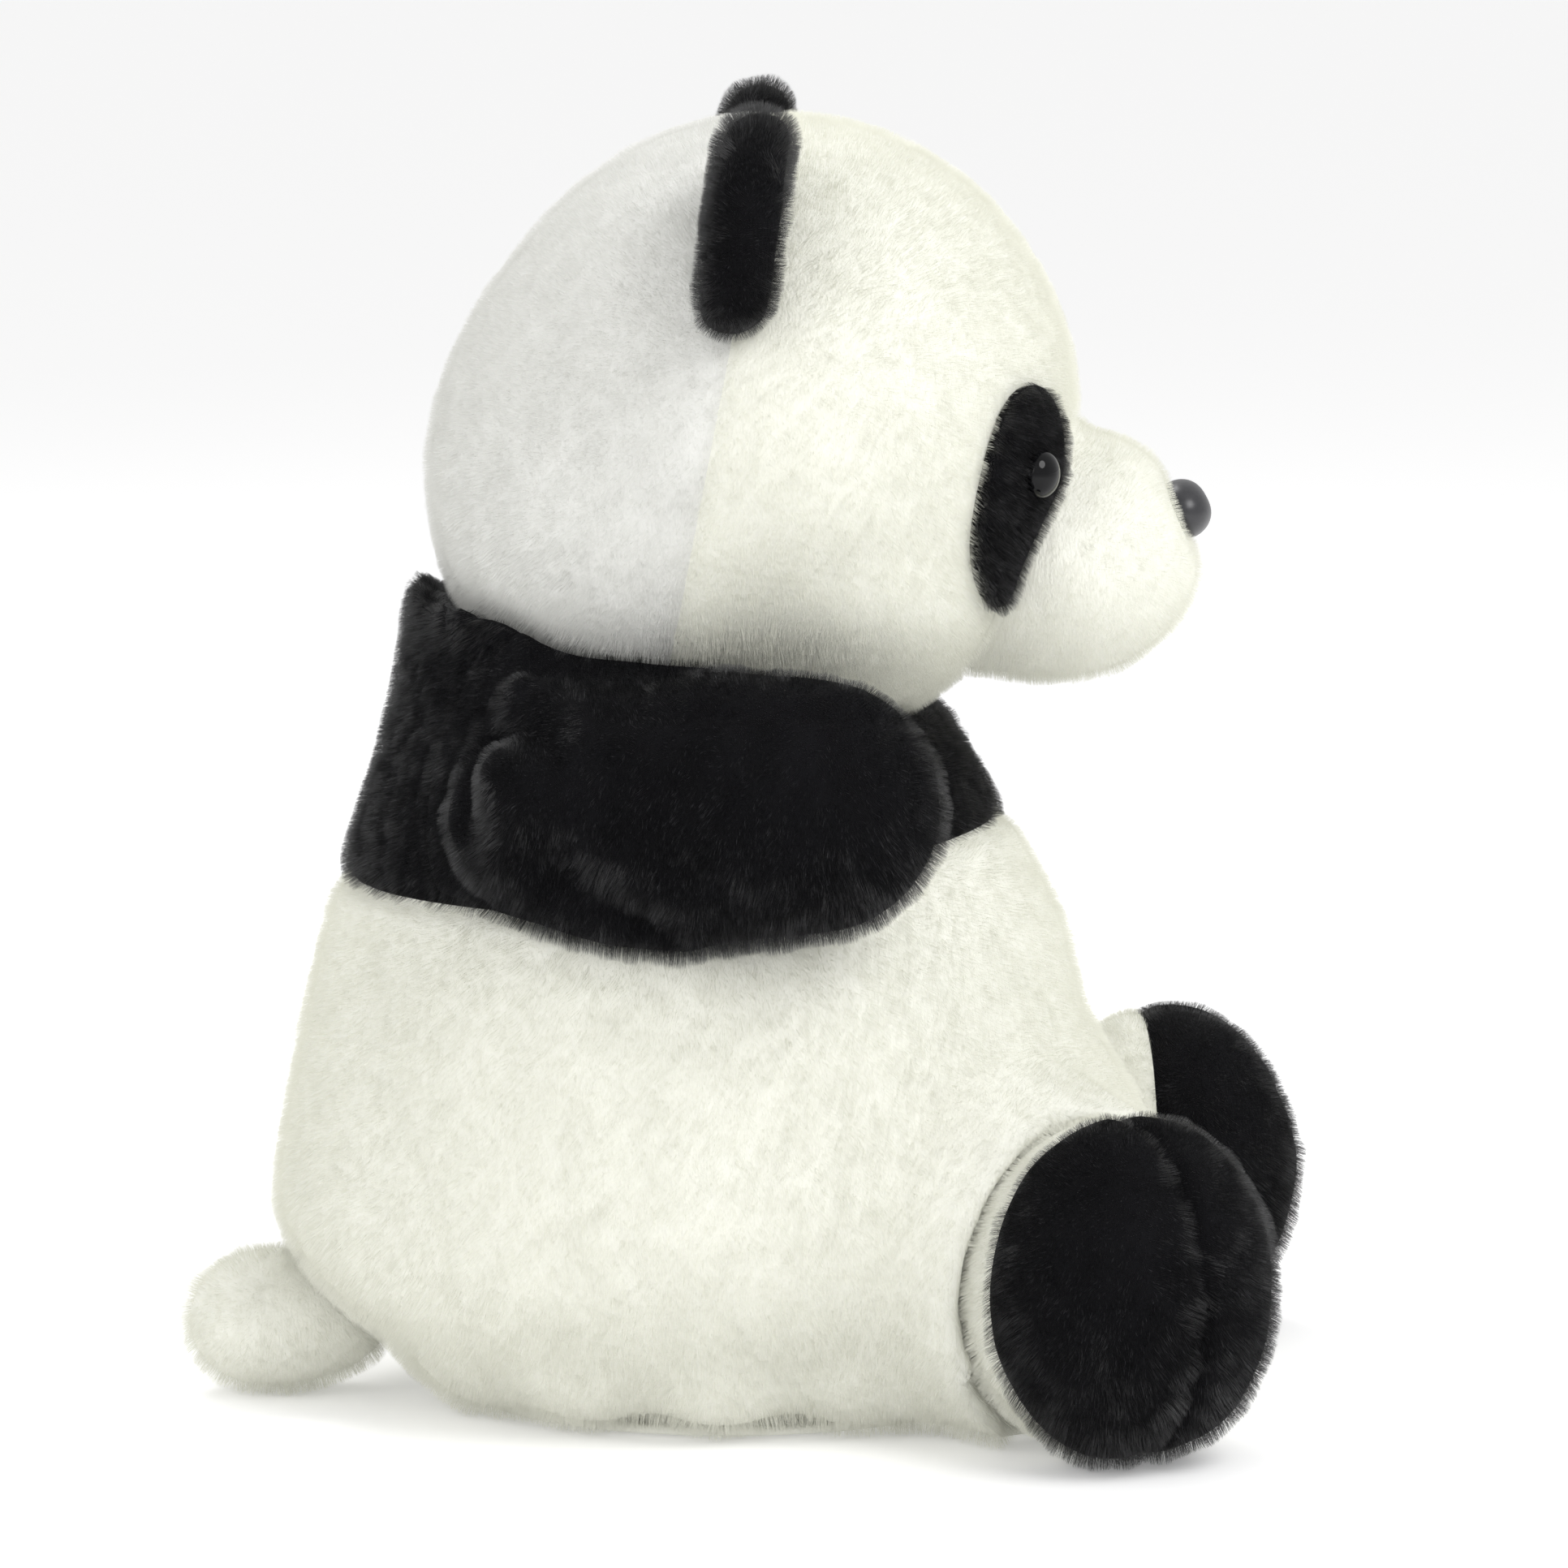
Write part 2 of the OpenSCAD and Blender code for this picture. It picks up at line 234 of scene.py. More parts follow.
def normals_of(piece):
    return np.array([n.vector[:] for n in piece.data.vertex_normals])


def move_points(piece, points):
    piece.data.vertices.foreach_set("co", (points * MM).astype(np.float32).ravel())
    piece.data.update()


def push(piece, amounts):
    """Moves each point along its normal by its amount in millimetres."""
    move_points(piece, points_of(piece) + normals_of(piece) * np.asarray(amounts)[:, None])


def soft_noise(points, scale, seed=0):
    """Smooth noise from -1 to 1 at each point, with features about scale millimetres wide."""
    offset = Vector((seed * 17.3, seed * 5.1, seed * 9.7))
    return np.array([noise.noise(Vector(p) / scale + offset) for p in points])


def ridge(distance, width):
    """1 on a line and falling smoothly to 0 within about twice the width."""
    return np.exp(-(np.asarray(distance) / width) ** 2)


def blend_step(value, low, high):
    """0 below low, 1 above high, and smooth between."""
    t = np.clip((np.asarray(value, float) - low) / (high - low), 0, 1)
    return t * t * (3 - 2 * t)


def keep_side(source, name, side):
    """A copy of source cut along side(points) = 0, keeping where side is negative."""
    points = points_of(source)
    values = side(points)
    mesh = bmesh.new()
    mesh.from_mesh(source.data)
    mesh.verts.ensure_lookup_table()
    level = dict(zip(mesh.verts, values))
    for edge in [e for e in mesh.edges if level[e.verts[0]] * level[e.verts[1]] < 0]:
        first, last = edge.verts
        share = level[first] / (level[first] - level[last])
        _, middle = bmesh.utils.edge_split(edge, first, share)
        level[middle] = 0.0
    for face in list(mesh.faces):
        corners = list(face.verts)
        on = [v for v in corners if level[v] == 0]
        if len(on) == 2 and not any(set(on) == set(e.verts) for e in face.edges):
            bmesh.utils.face_split(face, on[0], on[1])
    outside = [f for f in mesh.faces if max(level[v] for v in f.verts) > 0]
    bmesh.ops.delete(mesh, geom=outside, context="FACES")
    bmesh.ops.delete(mesh, geom=[v for v in mesh.verts if not v.link_faces], context="VERTS")
    made = bpy.data.meshes.new(name)
    mesh.to_mesh(made)
    mesh.free()
    made.shade_smooth()
    piece = bpy.data.objects.new(name, made)
    bpy.context.scene.collection.objects.link(piece)
    return piece


def line_distance(points, line):
    """Distance from each point to a broken line."""
    nearest = np.full(len(points), 1e9)
    for a, b in zip(line[:-1], line[1:]):
        a, b = np.array(a, float), np.array(b, float)
        t = np.clip((points - a) @ (b - a) / ((b - a) @ (b - a)), 0, 1)
        nearest = np.minimum(nearest, np.linalg.norm(points - a - t[:, None] * (b - a), axis=1))
    return nearest


# ---- cloth ----

CLOTH_FRAMES = 14


def stuffed(piece, seam, pressure=3.0, cap=3.0):
    """Lets the cover swell against its stuffing while its seam points, 1 where held, stay put."""
    rest = points_of(piece)
    held = piece.vertex_groups.new(name="held")
    for i, weight in enumerate(seam):
        held.add([i], float(weight), "REPLACE")
    cloth = piece.modifiers.new("cloth", "CLOTH")
    cloth.settings.vertex_group_mass = "held"
    cloth.settings.use_pressure = True
    cloth.settings.uniform_pressure_force = pressure
    cloth.settings.quality = 4
    cloth.settings.effector_weights.gravity = 0
    cloth.collision_settings.use_collision = False
    scene = bpy.context.scene
    for step in range(1, CLOTH_FRAMES + 1):
        scene.frame_set(step)
    swollen = piece.evaluated_get(bpy.context.evaluated_depsgraph_get())
    shape = np.array([v.co[:] for v in swollen.data.vertices]) / MM
    piece.modifiers.remove(cloth)
    piece.vertex_groups.remove(held)
    scene.frame_set(1)
    moved = shape - rest
    far = np.linalg.norm(moved, axis=1)
    move_points(piece, rest + moved * np.minimum(1, cap / np.maximum(far, 1e-6))[:, None])


def refine(piece, levels=1):
    """Smooth subdivision, applied."""
    soften = piece.modifiers.new("soften", "SUBSURF")
    soften.levels = soften.render_levels = levels
    done = piece.evaluated_get(bpy.context.evaluated_depsgraph_get())
    mesh = bpy.data.meshes.new_from_object(done)
    piece.modifiers.remove(soften)
    piece.data = mesh
    mesh.shade_smooth()


# ---- materials ----

def node_material(name, rough, sheen=0.0, specular=0.5):
    material = bpy.data.materials.new(name)
    material.use_nodes = True
    surface = material.node_tree.nodes["Principled BSDF"]
    surface.inputs["Roughness"].default_value = rough
    surface.inputs["Sheen Weight"].default_value = sheen
    surface.inputs["Sheen Roughness"].default_value = 0.5
    surface.inputs["Specular IOR Level"].default_value = specular
    return material, material.node_tree, surface


def noise_node(tree, scale, detail=4.0, stretch=(1, 1, 1)):
    """A noise texture in the frame's own metres; scale is features a metre."""
    place = tree.nodes.new("ShaderNodeTexCoord")
    sized = tree.nodes.new("ShaderNodeMapping")
    sized.inputs["Scale"].default_value = stretch
    texture = tree.nodes.new("ShaderNodeTexNoise")
    texture.inputs["Scale"].default_value = scale
    texture.inputs["Detail"].default_value = detail
    tree.links.new(place.outputs["Object"], sized.inputs["Vector"])
    tree.links.new(sized.outputs["Vector"], texture.inputs["Vector"])
    return texture


def tint_between(tree, factor, low, high, start=0.3, end=0.7):
    ramp = tree.nodes.new("ShaderNodeValToRGB")
    ramp.color_ramp.elements[0].position, ramp.color_ramp.elements[0].color = start, (*low, 1)
    ramp.color_ramp.elements[1].position, ramp.color_ramp.elements[1].color = end, (*high, 1)
    tree.links.new(factor, ramp.inputs["Fac"])
    return ramp.outputs["Color"]


def bump_from(tree, surface, height, strength, depth):
    bump = tree.nodes.new("ShaderNodeBump")
    bump.inputs["Strength"].default_value = strength
    bump.inputs["Distance"].default_value = depth
    tree.links.new(height, bump.inputs["Height"])
    tree.links.new(bump.outputs["Normal"], surface.inputs["Normal"])


def pile_backing(name, dark, light, sheen):
    """The cloth below the pile: mottled, with the grain of short upright fibres."""
    material, tree, surface = node_material(name, 0.95, sheen, 0.15)
    mottle = noise_node(tree, 60, 5, (1, 1, 0.5))
    tree.links.new(tint_between(tree, mottle.outputs["Fac"], dark, light), surface.inputs["Base Color"])
    grain = noise_node(tree, 1400, 3, (1, 1, 0.35))
    bump_from(tree, surface, grain.outputs["Fac"], 0.7, 0.0006)
    return material


def pile_fibre(name, root, tip, rough, specular, dim=0.86, bright_from=0.0):
    """A single fibre, darker at its root, in painted shade deep in the pile; on black fibres the lighter tip
    is painted sheen.
    dim is the least bright fibre's share of the brightest's, and only the fibres past bright_from are
    brighter than it; on black fibres these few bright ones are painted glints."""
    material, tree, surface = node_material(name, rough, 0, specular)
    strand = tree.nodes.new("ShaderNodeHairInfo")
    # Root to tip: the darker root is painted shade deep in the pile; on black fibres the bright tip is
    # painted sheen
    along = tint_between(tree, strand.outputs["Intercept"], root, tip, 0.0, 0.9)
    vary = tree.nodes.new("ShaderNodeMix")
    vary.data_type, vary.blend_type = "RGBA", "MULTIPLY"
    vary.inputs["Factor"].default_value = 1.0
    tree.links.new(along, vary.inputs["A"])
    # Random spread per fibre: a tone that differs at random, and on black fibres the few past bright_from are
    # painted glints
    tree.links.new(tint_between(tree, strand.outputs["Random"], (dim, dim, dim), (1, 1, 1), bright_from, 1),
                   vary.inputs["B"])
    tree.links.new(vary.outputs["Result"], surface.inputs["Base Color"])
    return material


# The fibres' darker roots, here and below, are painted shade deep in the pile
WHITE = (pile_backing("white_backing", (0.77, 0.77, 0.70), (0.81, 0.81, 0.74), 0.2),
         pile_fibre("white_fibre", (0.78, 0.78, 0.70), (0.86, 0.86, 0.78), 0.8, 0.1, 0.92))
# The back of the head: the white plush made greyer and darker, painted shade for the side turned from the
# lights, with its own roughness and shine
WHITE_PAINTED_SHADE = (pile_backing("grey_white_backing", (0.70, 0.70, 0.67), (0.76, 0.76, 0.73), 0.2),
              pile_fibre("grey_white_fibre", (0.72, 0.72, 0.69), (0.82, 0.82, 0.79), 0.55, 0.3, 0.9))
# Black fibres: the lighter tips are painted sheen, and the fibres past 0.85 of the random spread, about
# twelve times brighter than the rest, are painted glints
BLACK = (pile_backing("black_backing", (0.0015, 0.0015, 0.002), (0.004, 0.004, 0.005), 0.0),
         pile_fibre("black_fibre", (0.002, 0.002, 0.0025), (0.16, 0.16, 0.17), 0.28, 0.8, 0.08, 0.85))


def plastic(name, colour, rough, bump, specular=0.5):
    material, tree, surface = node_material(name, rough, 0, specular)
    grain = noise_node(tree, 900, 3)
    lighter = tuple(c * 1.3 for c in colour)
    tree.links.new(tint_between(tree, grain.outputs["Fac"], colour, lighter), surface.inputs["Base Color"])
    bump_from(tree, surface, grain.outputs["Fac"], bump, 0.0001)
    return material


EYE_PLASTIC = plastic("eye_plastic", (0.003, 0.003, 0.0035), 0.05, 0.05, 0.2)
NOSE_PLASTIC = plastic("nose_plastic", (0.022, 0.022, 0.025), 0.34, 0.25)
WASHER_PLASTIC = plastic("washer_plastic", (0.7, 0.7, 0.67), 0.5, 0.25)

# ---- pile ----

PARENTS_PER_CM2 = 5
# Blender takes a hair's length as four times the speed at which it leaves the surface
SPEED_PER_LENGTH = 0.25


def area_cm2(piece):
    return sum(face.area for face in piece.data.polygons) * 1e4


def grow_pile(piece, cloth, length, per_mm2=2.2, thick=0.11, lean=(0, 0, -0.4), bare=None, seed=1,
              clump=0.08, unruly=0.35):
    """Covers the piece in fibres length millimetres long. bare is 1 where nothing grows."""
    backing, fibre = cloth
    piece.data.materials.clear()
    piece.data.materials.append(backing)
    piece.data.materials.append(fibre)
    pile = piece.modifiers.new("pile", "PARTICLE_SYSTEM").particle_system
    pile.seed = seed
    if bare is not None:
        grown = piece.vertex_groups.new(name="grown")
        for i, b in enumerate(bare):
            grown.add([i], float(1 - b), "REPLACE")
        pile.vertex_group_density = "grown"
    hair = pile.settings
    hair.type = "HAIR"
    hair.count = max(200, int(area_cm2(piece) * PARENTS_PER_CM2))
    hair.hair_step = 3
    hair.render_step = 2
    hair.use_advanced_hair = True
    speed = length * MM * SPEED_PER_LENGTH
    hair.normal_factor = speed
    hair.object_align_factor = [speed * share for share in lean]
    hair.factor_random = speed * 0.25
    hair.child_type = "INTERPOLATED"
    hair.rendered_child_count = max(1, int(per_mm2 * 100 / PARENTS_PER_CM2))
    hair.clump_factor = clump
    hair.roughness_2 = unruly * MM
    hair.roughness_2_size = 0.3
    hair.root_radius, hair.tip_radius = 1.0, 0.35
    hair.radius_scale = thick * MM / 2
    hair.material_slot = fibre.name
    hair.use_hair_bspline = False


def dress(piece, body, slot, cloth, length, replaces, bend=None, **pile):
    """Gives a finished cover its pile, and ties it to its body in the frame unless bend is given.

    bend, the first and last point of the stretch over which a cover that starts on the torso bends, is only
    checked for being given; its points are not used, and such a cover is left untied with its place applied
    to its points."""
    grow_pile(piece, cloth, length, **pile)
    if bend:
        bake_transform(piece)
    else:
        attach(piece, body)
    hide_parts(*replaces)


# ---- places from the frame ----

HEAD_AT = JOINT_AT["head_turn"]
SKULL = [(HEAD_AT + [0, -12, 16], (92, 76, 75)),
         (HEAD_AT + [0, 10, -4], (84, 65, 60)),
         (HEAD_AT + [0, -26, -20], (78, 50, 38))]
NECK_BALL = (HEAD_AT, (76, 76, 76))
head_shape = melted(SKULL + [NECK_BALL], 2.5)
collar_room = melted([NECK_BALL, *SKULL], 2.5)
MUZZLE = [(HEAD_AT + [0, -80, -22], (41, 40, 32)), (HEAD_AT + [0, -89, -14], (32, 28, 24))]
muzzle_lobes_shape = melted(MUZZLE, 3)
muzzle_shape = overlaid(muzzle_lobes_shape, head_shape, HEAD_AT + [0, -80, -20], 37, 0.0, 3)


def face_seam(points):
    """Negative in front of the seam between the head's face and back."""
    lean = math.radians(10.8)
    from_seam = points - (HEAD_AT + [0, -1, 39])
    return from_seam[:, 1] * math.cos(lean) + from_seam[:, 2] * math.sin(lean)


def foot_frame(name):
    """The foot's own sideways, heelwards and upward directions as rows."""
    across = -JOINT_AXIS[f"leg_{name}_lift"]
    across = across / np.linalg.norm(across)
    return np.array([across, (-across[1], across[0], 0), (0, 0, 1)])


HIP_IN_FOOT = np.array([0, 26, -4])
ANKLE_SEAM = 8
FOOT_LOBE = ((0, 0, 0), (38, 34, 43))
HIP_LOBE = (HIP_IN_FOOT, (31, 31, 31))
THIGH = between((HIP_IN_FOOT + [0, -6, 3], (41, 18, 47)), (HIP_IN_FOOT + [0, 24, 1], (40, 38, 40)), 4)
foot_shape = melted(between(FOOT_LOBE, HIP_LOBE, 4), 3)


def in_foot(name, shape):
    """A shape given in the foot's own directions, as one in the frame's."""
    turn, hip = foot_frame(name), JOINT_AT[f"leg_{name}_lift"]
    return lambda points: shape((points - hip) @ turn.T + HIP_IN_FOOT)


def arm_lobes(name):
    low, high = node_box(f"arm_cover_{name}")
    root = JOINT_AT[f"arm_{name}_open"]
    paw_radii = np.array([24, 31, 32])
    out = high[0] if SIDES[name] > 0 else low[0]
    paw = np.array([out - SIDES[name] * paw_radii[0], low[1] + paw_radii[1], low[2] + paw_radii[2]])
    return between((root, (26, 26, 26)), (paw, paw_radii), 6)


def arm_shape(name):
    return melted(arm_lobes(name), 3)


TAIL_AT = JOINT_AT["tail_wag"]
tail_shape = melted(between((TAIL_AT, (14, 14, 14)), (TAIL_AT + [0, 22, -0.8], (20, 18.5, 17.7)), 4), 3)


# ---- head ----

def make_head():
    """One stuffed form, cut at its side seam into the face and the back."""
    form = new_piece("head_form", *ray_form(HEAD_AT, head_shape, 30))
    at = points_of(form)
    covered = blend_step(HEAD_AT[2] - 42 - at[:, 2], -4, 6)
    stuffed(form, np.maximum(0.6 * ridge(face_seam(at), 5), covered), 3, 1.5)
    refine(form)
    at = points_of(form)
    above = blend_step(at[:, 2], HEAD_AT[2] - 40, HEAD_AT[2] - 25)
    stroke = 0.9 * soft_noise(at, 45, 1) + 0.2 * soft_noise(at, 16, 2)
    push(form, above * stroke - 0.8 * ridge(face_seam(at), 3.2))
    face = keep_side(form, "head_face", face_seam)
    back = keep_side(form, "head_back", lambda p: -face_seam(p))
    bpy.data.objects.remove(form)
    for piece, seed in ((face, 11), (back, 12)):
        at = points_of(piece)
        bare = blend_step(-collar_depth(at), 2, 5)
        for name in SIDES:
            bare = np.maximum(bare, patch_cover(at, name))
        bare = np.maximum(bare, blend_step(-muzzle_shape(at), 0.0, 1))
        is_face = piece is face
        # The back gets the greyer copy of the white plush: painted shade
        dress(piece, "head", "white_plush" if is_face else "grey_white_plush",
              WHITE if is_face else WHITE_PAINTED_SHADE, 2.6,
              ["head_face_cover", "head_stuffing"] if is_face else ["head_back_cover"],
              lean=(0, 0, -0.25), bare=bare, seed=seed, thick=0.10, per_mm2=3.0)


def collar_depth(points):
    """Height above the collar's rim, which rises towards the back."""
    from_rim = points - (HEAD_AT + [0, 0, -48])
    rise = math.radians(14)
    return from_rim[:, 2] * math.cos(rise) - from_rim[:, 1] * math.sin(rise)


def make_muzzle():
    inside = HEAD_AT + [0, -80, -20]
    form = new_piece("muzzle_form", *ray_form(inside, muzzle_shape, 18))
    at = points_of(form)
    held = np.maximum(blend_step(-head_shape(at), -5, 1), 0.6 * ridge(at[:, 0], 3))
    stuffed(form, held, 3, 1.2)
    refine(form)
    at = points_of(form)
    low_middle = blend_step(nose_place()[0][2] - at[:, 2], 2, 12)
    nose_at, out = nose_place()
    under_nose = ridge(np.linalg.norm((at - nose_at + out * 6) / [1.4, 1, 1], axis=1), 11)
    push(form, 0.5 * soft_noise(at, 14, 3) - 5.5 * under_nose
         - 1.0 * ridge(at[:, 0], 2) * low_middle)
    piece = keep_side(form, "muzzle", lambda p: -head_shape(p) - 2)
    bpy.data.objects.remove(form)
    at = points_of(piece)
    bare = np.maximum(blend_step(-head_shape(at), 0.2, 1.5),
                      1 - blend_step(np.linalg.norm((at - nose_at + out * 6) / [1.5, 1, 1], axis=1), 6, 8))
    dress(piece, "head", "white_plush", WHITE, 2.2, ["muzzle_cover", "muzzle_stuffing"],
          lean=(0, 0, -0.2), bare=bare, seed=13, thick=0.09, per_mm2=3.4)


def button_axis(node, washer):
    """Where the line from the washer's middle leaves the button's dome, and its direction."""
    low, high = node_box(washer)
    middle = (low + high) / 2
    dome = np.array([v.co[:] for v in frame["nodes"][node].data.vertices]) / MM
    span = np.linalg.norm(dome - middle, axis=1)
    tip = dome[span > span.max() - 0.4].mean(axis=0)
    out = (tip - middle) / np.linalg.norm(tip - middle)
    return tip, out


def nose_place():
    return button_axis("nose", "nose_washer")


PATCH_RADII, PATCH_DROP, PATCH_THICK = (21.5, 28), 6, 1.6
PATCH_FORWARD, PATCH_TURN = 1.5, math.radians(-14)


def patch_frame(name):
    """Middle of the eye patch, with its sideways, upward and outward directions."""
    tip, out = button_axis(f"eye_{name}", f"eye_washer_{name}")
    across = np.cross([0, 0, 1], out)
    across = across / np.linalg.norm(across)
    forward = -SIDES[name] * across
    upright = np.array([0, 0, 1.0])
    up = upright * math.cos(PATCH_TURN) + forward * math.sin(PATCH_TURN)
    level = across * math.cos(PATCH_TURN) + SIDES[name] * upright * math.sin(PATCH_TURN)
    return tip - [0, 0, PATCH_DROP] + forward * PATCH_FORWARD, level, up, out


def patch_radius(points, name):
    """1 on the patch's edge, less inside it."""
    middle, across, upward, out = patch_frame(name)
    away = points - middle
    return np.hypot(away @ across / PATCH_RADII[0], away @ upward / PATCH_RADII[1])


def patch_cover(points, name):
    """1 on the head below the patch and 0 elsewhere."""
    middle, across, upward, out = patch_frame(name)
    return (patch_radius(points, name) < 0.93) * ((points - middle) @ out > -20)


def make_patch(name):
    """A thin oval pad laid on the face, closed behind."""
    middle, across, upward, out = patch_frame(name)
    rings, spokes = 18, 72
    flat = [(0.0, 0.0)] + [(r / rings, 2 * math.pi * k / spokes)
                           for r in range(1, rings + 1) for k in range(spokes)]
    spread = np.array([[r * math.cos(a) * PATCH_RADII[0], r * math.sin(a) * PATCH_RADII[1]] for r, a in flat])
    starts = middle + spread[:, :1] * across + spread[:, 1:] * upward + out * 20
    rays = np.tile(-out, (len(starts), 1))
    on_face = starts + rays * first_crossing(starts, rays, lambda p: head_shape(p) + 1.2, 60)[:, None]
    away = outward(on_face, head_shape)
    radius = np.array([r for r, _ in flat])
    front = on_face + away * (0.5 + PATCH_THICK * np.sqrt(1 - 0.85 * radius ** 6))[:, None]
    behind = on_face - away * 0.8
    faces = [(0, 1 + k, 1 + (k + 1) % spokes) for k in range(spokes)]
    for r in range(rings - 1):
        for k in range(spokes):
            a, b = 1 + r * spokes + k, 1 + r * spokes + (k + 1) % spokes
            faces.append((a, a + spokes, b + spokes, b))
    count = len(front)
    rim = 1 + (rings - 1) * spokes
    wall = [(rim + k, rim + k + count, rim + (k + 1) % spokes + count, rim + (k + 1) % spokes)
            for k in range(spokes)]
    closed = faces + [tuple(i + count for i in reversed(f)) for f in faces] + wall
    form = new_piece(f"patch_form_{name}", np.vstack([front, behind]), closed)
    piece = keep_side(form, f"eye_patch_cloth_{name}", lambda p: -muzzle_shape(p) - 1.5)
    bpy.data.objects.remove(form)
    at = points_of(piece)
    lifted = head_shape(at) > -0.9
    tip, _ = button_axis(f"eye_{name}", f"eye_washer_{name}")
    bare = np.maximum(~lifted, np.linalg.norm(at - tip, axis=1) < 7.5)
    dress(piece, "head", "black_plush", BLACK, 2.4, [f"eye_patch_{name}"],
          lean=(0, 0, -0.3), bare=bare, seed=20 + SIDES[name], thick=0.10, per_mm2=3.2)


def lathe(name, profile, at, out, squeeze=(1, 1), spokes=72):
    """Turns a profile of (radius, height) pairs about out, from the point at."""
    out = np.array(out, float)
    across = np.cross([0, 0, 1], out)
    across = across / np.linalg.norm(across)
    upward = np.cross(out, across)
    points = [at + out * h + across * r * math.cos(a) * squeeze[0] + upward * r * math.sin(a) * squeeze[1]
              for r, h in profile for a in [2 * math.pi * k / spokes for k in range(spokes)]]
    faces = [(i * spokes + k, i * spokes + (k + 1) % spokes, (i + 1) * spokes + (k + 1) % spokes,
              (i + 1) * spokes + k) for i in range(len(profile) - 1) for k in range(spokes)]
    faces.append(tuple(reversed(range(spokes))))
    faces.append(tuple((len(profile) - 1) * spokes + k for k in range(spokes)))
    return new_piece(name, points, faces)


def finish_button(piece, material, node):
    piece.data.materials.append(material)
    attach(piece, "head")
    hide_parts(node)


def make_eye(name):
    """A glossy dome with a rolled rim on its shank."""
    tip, out = button_axis(f"eye_{name}", f"eye_washer_{name}")
    radius, dome = 6.0, 4.5
    arc = [(radius * math.cos(a), dome * math.sin(a)) for a in np.linspace(0, math.radians(89), 24)]
    shank = [(2.0, -11.0), (2.0, -1.2), (4.8, -1.2), (5.7, -0.7)]
    piece = lathe(f"eye_button_{name}", shank + arc, tip - out * dome, out)
    finish_button(piece, EYE_PLASTIC, f"eye_{name}")


def make_nose():
    """A wide satin dome, a little fuller at the top, on its shank."""
    tip, out = nose_place()
    radius, dome = 7.6, 7.0
    arc = [(radius * math.cos(a) ** 0.8, dome * math.sin(a)) for a in np.linspace(0, math.radians(89), 24)]
    shank = [(2.2, -10.0), (2.2, -3.4), (6.4, -3.0), (7.3, -1.4)]
    piece = lathe("nose_button", shank + arc, tip - out * dome, out, (1.5, 1.0))
    finish_button(piece, NOSE_PLASTIC, "nose")


EAR_LEAN = 0.13
EAR_RADIUS, EAR_HALF_THICK, EAR_MIDDLE = 30, 9.5, 2.5


def ear_pad(points):
    """Distance from a flat round pad with a rounded edge, standing on the ear's fold line."""
    rim = np.hypot(points[:, 0], points[:, 2] - EAR_MIDDLE)
    return np.hypot(np.maximum(rim - (EAR_RADIUS - EAR_HALF_THICK), 0), points[:, 1]) - EAR_HALF_THICK


def make_ear(name):
    """A round pad with a cupped front, pinched where it is sewn on."""
    side = SIDES[name]
    along = JOINT_AXIS[f"ear_{name}_fold"]
    along = along / np.linalg.norm(along)
    behind = np.array([0, 1.0, 0])
    outwards = np.cross(along, behind)
    turn = np.array([along, behind, outwards])
    root = JOINT_AT[f"ear_{name}_fold"]
    points, quads = ray_form((0, 0, EAR_MIDDLE), ear_pad, 20, 60, 1.2)
    form = new_piece(f"ear_pad_{name}", points, quads)
    at = points_of(form)
    rim = np.hypot(at[:, 0], at[:, 2] - EAR_MIDDLE)
    stuffed(form, np.maximum(ridge(rim - EAR_RADIUS, 4), blend_step(-at[:, 2], -4, 4)), 3, 0.8)
    refine(form)
    at = points_of(form)
    rim = np.hypot(at[:, 0], at[:, 2] - EAR_MIDDLE) / EAR_RADIUS
    front = blend_step(-at[:, 1], -1, 4)
    at[:, 1] += front * 3.0 * (1 - blend_step(rim, 0.2, 0.8))
    at[:, 1] -= EAR_LEAN * (at[:, 0] * along[2] + at[:, 2] * outwards[2])
    root_pinch = blend_step(at[:, 2], -16, 6)
    at[:, 0] *= 0.82 + 0.18 * root_pinch
    at[:, 2] = np.maximum(at[:, 2], -9)
    move_points(form, root + at @ turn)
    at = points_of(form)
    push(form, 0.5 * soft_noise(at, 12, 30 + side))
    bare = blend_step(-head_shape(points_of(form)), 1, 3)
    dress(form, f"ear_{name}", "black_plush", BLACK, 3.0, [f"ear_{name}"],
          lean=(0, 0, 0.1), bare=bare, seed=30 + side, thick=0.11, per_mm2=2.8)


# ---- body ----

BODY_AT = np.array([0, 15.0, 110.0])
TRUNK = [((0, 16, 52), (92, 107, 51.5)), ((0, 15, 112), (85, 96, 50)),
         ((0, 22, 170), (76, 70, 38)), ((0, 38, 200), (55, 46, 25))]
COLLAR_BACK = ((0, 52, 205), (60, 33, 26))
LAP = ((0, -52, 58), (50, 50, 46))
# A hollow drawn this far inside a limb meets it once both are set back by their pile
SNUG = -2.6
BASE_RING = 12
BASE = [((52 * math.cos(a), 8 + 64 * math.sin(a), 22), (24, 24, 22.4))
        for a in np.linspace(0, 2 * math.pi, BASE_RING, endpoint=False)]
BAND_SEAM_BACK, BAND_SEAM_FRONT = 134, 149


def band_seam(points):
    """Height above the seam between the white body and the black band, which is highest at the front."""
    rise = blend_step(-points[:, 1], -25, 65)
    return points[:, 2] - (BAND_SEAM_BACK + (BAND_SEAM_FRONT - BAND_SEAM_BACK) * rise)


trunk_form = melted(BASE + between(TRUNK[0], TRUNK[1], 4) + between(TRUNK[1], TRUNK[2], 4)[1:]
                    + between(TRUNK[2], TRUNK[3], 3)[1:] + [COLLAR_BACK, LAP], 4)


